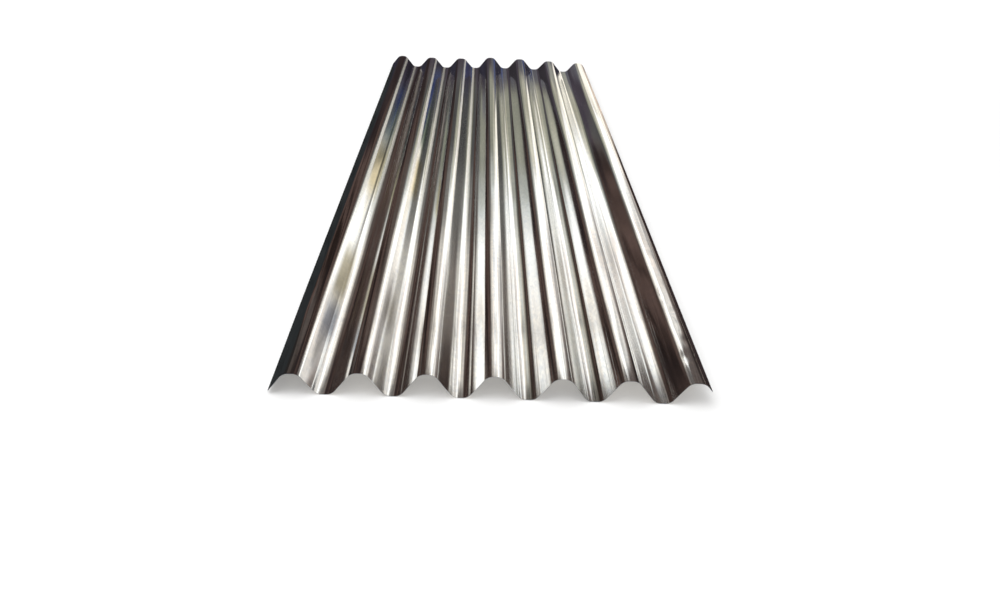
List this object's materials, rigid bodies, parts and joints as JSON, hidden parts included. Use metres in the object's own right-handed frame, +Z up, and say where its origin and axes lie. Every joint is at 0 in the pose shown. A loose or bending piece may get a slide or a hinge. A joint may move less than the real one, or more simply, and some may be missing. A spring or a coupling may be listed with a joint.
{
  "type": "corrugated metal sheet",
  "caption": "Corrugated steel sheet with rounded crests and valleys joined by straight flanks, plain cut ends and long edges that turn down.",
  "frame": {"origin": "under the middle of the sheet, in the plane that its valleys rest on", "axes": "+X across the waves, +Y along them, +Z up through the crests"},
  "size_m": [0.6872, 2.4, 0.0368],
  "materials": {
    "galvanised_steel": "bright hot-dip zinc coating, rolled smooth, with a faint spangle"
  },
  "bodies": {
    "root": {"corrugated_sheet": "galvanised_steel"}
  },
  "joints": []
}
